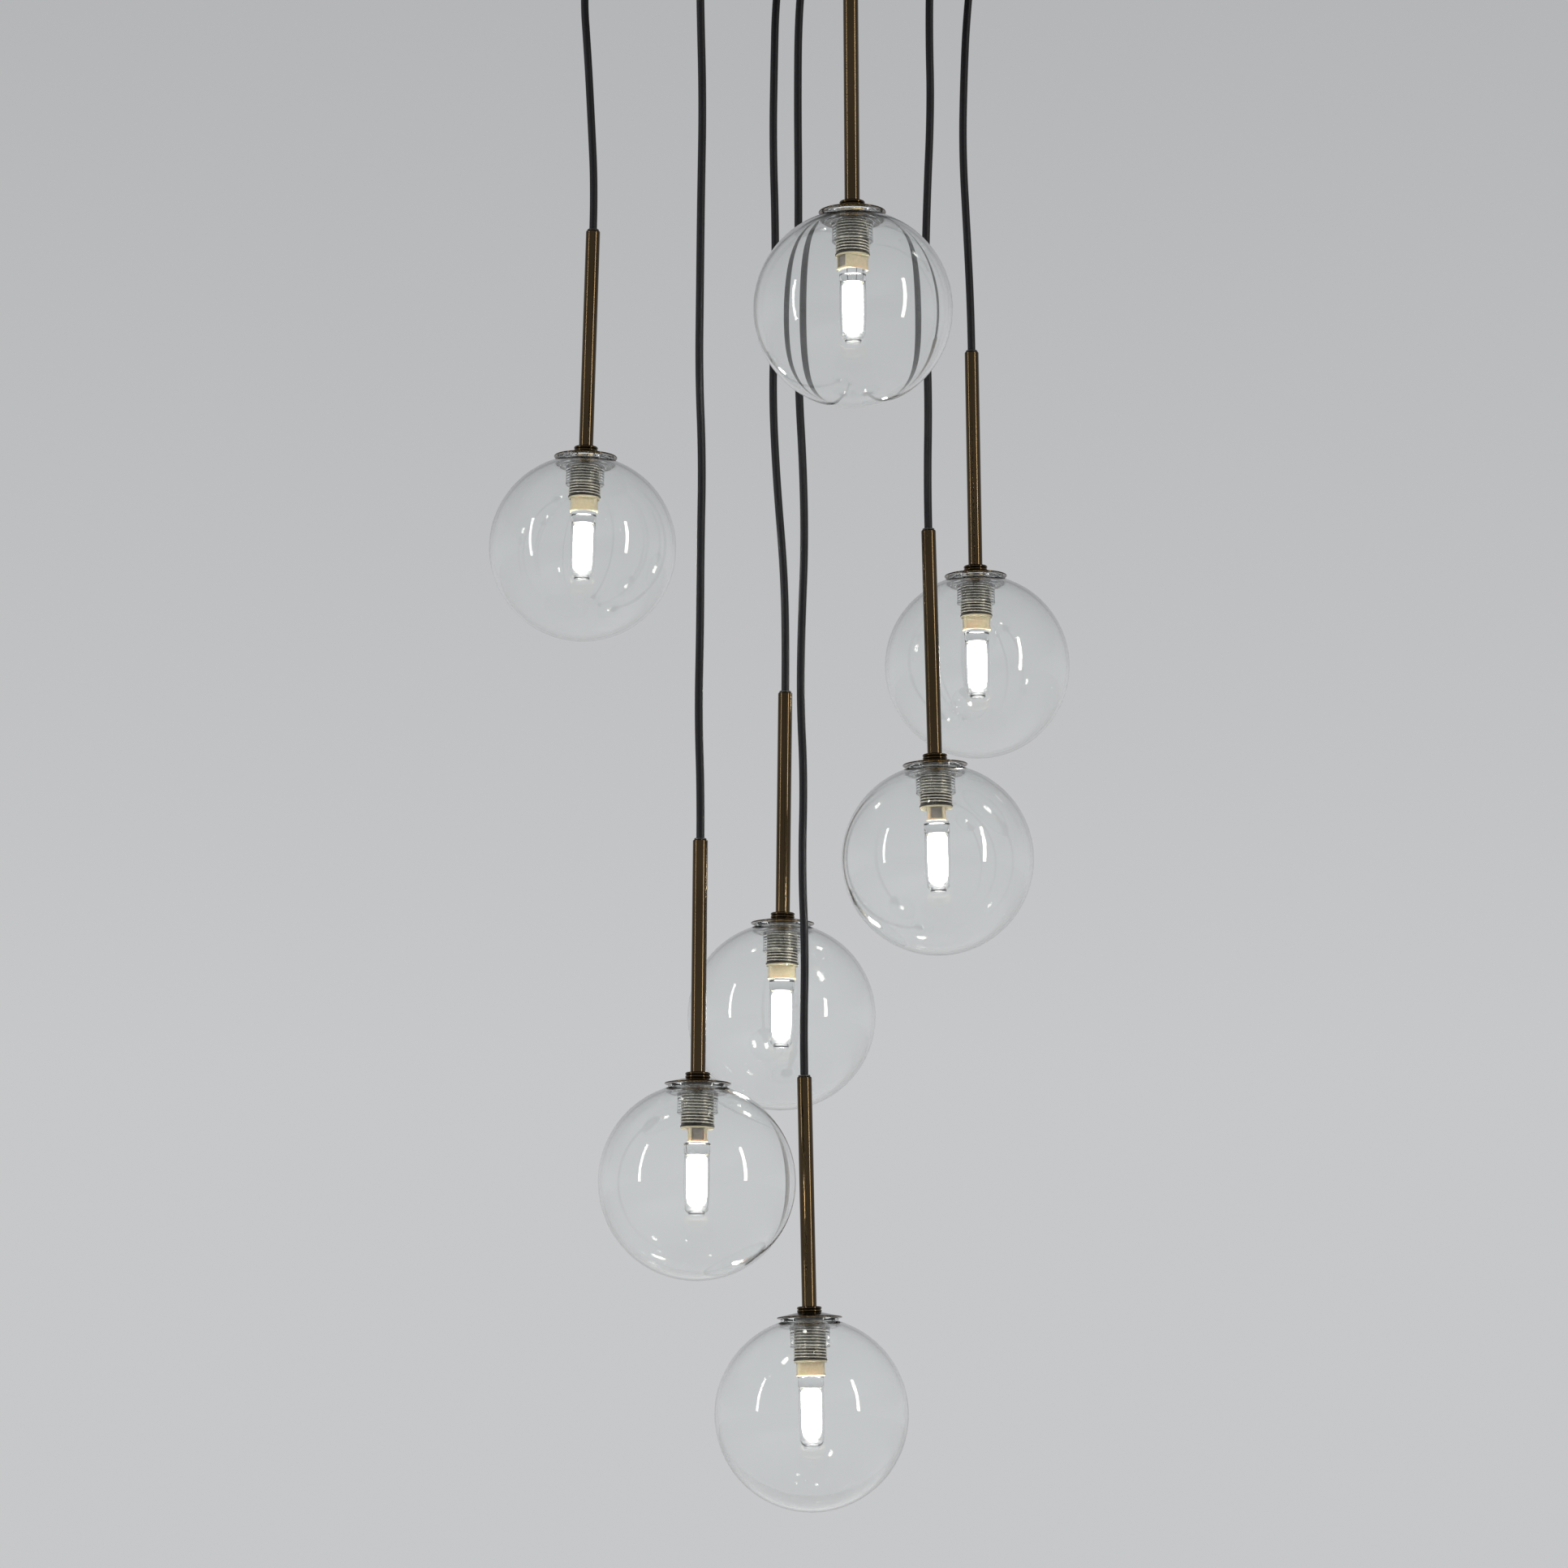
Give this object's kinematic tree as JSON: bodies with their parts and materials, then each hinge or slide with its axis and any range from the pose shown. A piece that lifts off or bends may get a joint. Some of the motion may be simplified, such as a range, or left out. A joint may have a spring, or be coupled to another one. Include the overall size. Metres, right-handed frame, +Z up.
{
  "type": "cluster pendant light",
  "caption": "Cluster pendant light: clear glass globes on brass stems hang at staggered heights on black cables from one round ceiling canopy.",
  "frame": {"origin": "on the ceiling plane, at the centre of the bracket's four screw holes", "axes": "+Z up, out of the ceiling face, so the lamp hangs along -Z; -Y is the side the lamp is looked at from, and +X is to the right from there"},
  "size_m": [0.4225, 0.441, 1.162],
  "materials": {
    "canopy_metal": "satin",
    "bracket_steel": "satin",
    "brass_fittings": "satin",
    "black_plastic": "satin",
    "white_plastic": "satin",
    "cable_rubber": "matte",
    "dark_brass": "polished",
    "holder_metal": "satin",
    "cream_ceramic": "satin",
    "clear_glass": "gloss",
    "bulb_glass": "gloss"
  },
  "bodies": {
    "canopy": {"canopy_cover": "canopy_metal", "ceiling_bracket": "bracket_steel", "cover_screws": "brass_fittings", "cord_grips": "black_plastic", "grip_nuts": "bracket_steel", "grip_clamps": "black_plastic", "cable_tails": "cable_rubber", "terminal_block": "white_plastic", "terminal_screws": "bracket_steel", "earth_stud": "brass_fittings"},
    "pendant_1": {"cable_1": "cable_rubber", "stem_1": "dark_brass", "cap_1": "dark_brass", "lampholder_1": "holder_metal", "insert_1": "cream_ceramic"},
    "glass_1": {"globe_1": "clear_glass"},
    "lamp_1": {"bulb_1": "bulb_glass"},
    "pendant_2": {"cable_2": "cable_rubber", "stem_2": "dark_brass", "cap_2": "dark_brass", "lampholder_2": "holder_metal", "insert_2": "cream_ceramic"},
    "glass_2": {"globe_2": "clear_glass"},
    "lamp_2": {"bulb_2": "bulb_glass"},
    "pendant_3": {"cable_3": "cable_rubber", "stem_3": "dark_brass", "cap_3": "dark_brass", "lampholder_3": "holder_metal", "insert_3": "cream_ceramic"},
    "glass_3": {"globe_3": "clear_glass"},
    "lamp_3": {"bulb_3": "bulb_glass"},
    "pendant_4": {"cable_4": "cable_rubber", "stem_4": "dark_brass", "cap_4": "dark_brass", "lampholder_4": "holder_metal", "insert_4": "cream_ceramic"},
    "glass_4": {"globe_4": "clear_glass"},
    "lamp_4": {"bulb_4": "bulb_glass"},
    "pendant_5": {"cable_5": "cable_rubber", "stem_5": "dark_brass", "cap_5": "dark_brass", "lampholder_5": "holder_metal", "insert_5": "cream_ceramic"},
    "glass_5": {"globe_5": "clear_glass"},
    "lamp_5": {"bulb_5": "bulb_glass"},
    "pendant_6": {"cable_6": "cable_rubber", "stem_6": "dark_brass", "cap_6": "dark_brass", "lampholder_6": "holder_metal", "insert_6": "cream_ceramic"},
    "glass_6": {"globe_6": "clear_glass"},
    "lamp_6": {"bulb_6": "bulb_glass"},
    "pendant_7": {"cable_7": "cable_rubber", "stem_7": "dark_brass", "cap_7": "dark_brass", "lampholder_7": "holder_metal", "insert_7": "cream_ceramic"},
    "glass_7": {"globe_7": "clear_glass"},
    "lamp_7": {"bulb_7": "bulb_glass"}
  },
  "joints": [
    {"name": "swing_1", "type": "hinge", "parent": "canopy", "child": "pendant_1", "pos_m": [0.0298, -0.173, -0.0512], "axis": [0, -1, 0], "range_deg": [-8, 8]},
    {"name": "globe_off_1", "type": "slide", "parent": "pendant_1", "child": "glass_1", "axis": [0.0052, 0, -1], "range_m": [0, 0.088]},
    {"name": "bulb_out_1", "type": "slide", "parent": "pendant_1", "child": "lamp_1", "axis": [0.0052, 0, -1], "range_m": [0, 0.012]},
    {"name": "swing_2", "type": "hinge", "parent": "canopy", "child": "pendant_2", "pos_m": [-0.1542, 0.078, -0.0512], "axis": [0, -1, 0], "range_deg": [-8, 5]},
    {"name": "globe_off_2", "type": "slide", "parent": "pendant_2", "child": "glass_2", "axis": [-0.0262, 0, -0.9997], "range_m": [0, 0.088]},
    {"name": "bulb_out_2", "type": "slide", "parent": "pendant_2", "child": "lamp_2", "axis": [-0.0262, 0, -0.9997], "range_m": [0, 0.012]},
    {"name": "swing_3", "type": "hinge", "parent": "canopy", "child": "pendant_3", "pos_m": [0.1207, 0.138, -0.0512], "axis": [0, -1, 0], "range_deg": [-4, 8]},
    {"name": "globe_off_3", "type": "slide", "parent": "pendant_3", "child": "glass_3", "axis": [0.0122, 0, -0.9999], "range_m": [0, 0.088]},
    {"name": "bulb_out_3", "type": "slide", "parent": "pendant_3", "child": "lamp_3", "axis": [0.0122, 0, -0.9999], "range_m": [0, 0.012]},
    {"name": "swing_4", "type": "hinge", "parent": "canopy", "child": "pendant_4", "pos_m": [0.0882, 0.01, -0.0512], "axis": [1, 0, 0], "range_deg": [-6, 1]},
    {"name": "globe_off_4", "type": "slide", "parent": "pendant_4", "child": "glass_4", "axis": [0.0236, 0, -0.9997], "range_m": [0, 0.088]},
    {"name": "bulb_out_4", "type": "slide", "parent": "pendant_4", "child": "lamp_4", "axis": [0.0236, 0, -0.9997], "range_m": [0, 0.012]},
    {"name": "swing_5", "type": "hinge", "parent": "canopy", "child": "pendant_5", "pos_m": [-0.0165, 0.107, -0.0512], "axis": [0, -1, 0], "range_deg": [-4, 3]},
    {"name": "globe_off_5", "type": "slide", "parent": "pendant_5", "child": "glass_5", "axis": [-0.0113, 0, -0.9999], "range_m": [0, 0.088]},
    {"name": "bulb_out_5", "type": "slide", "parent": "pendant_5", "child": "lamp_5", "axis": [-0.0113, 0, -0.9999], "range_m": [0, 0.012]},
    {"name": "swing_6", "type": "hinge", "parent": "canopy", "child": "pendant_6", "pos_m": [-0.0721, -0.055, -0.0512], "axis": [0, -1, 0], "range_deg": [-8, 4.5]},
    {"name": "globe_off_6", "type": "slide", "parent": "pendant_6", "child": "glass_6", "axis": [-0.0079, 0, -1], "range_m": [0, 0.088]},
    {"name": "bulb_out_6", "type": "slide", "parent": "pendant_6", "child": "lamp_6", "axis": [-0.0079, 0, -1], "range_m": [0, 0.012]},
    {"name": "swing_7", "type": "hinge", "parent": "canopy", "child": "pendant_7", "pos_m": [0.0027, 0.033, -0.0512], "axis": [0, -1, 0], "range_deg": [-5, 1.5]},
    {"name": "globe_off_7", "type": "slide", "parent": "pendant_7", "child": "glass_7", "axis": [0.0209, 0, -0.9998], "range_m": [0, 0.088]},
    {"name": "bulb_out_7", "type": "slide", "parent": "pendant_7", "child": "lamp_7", "axis": [0.0209, 0, -0.9998], "range_m": [0, 0.012]}
  ]
}
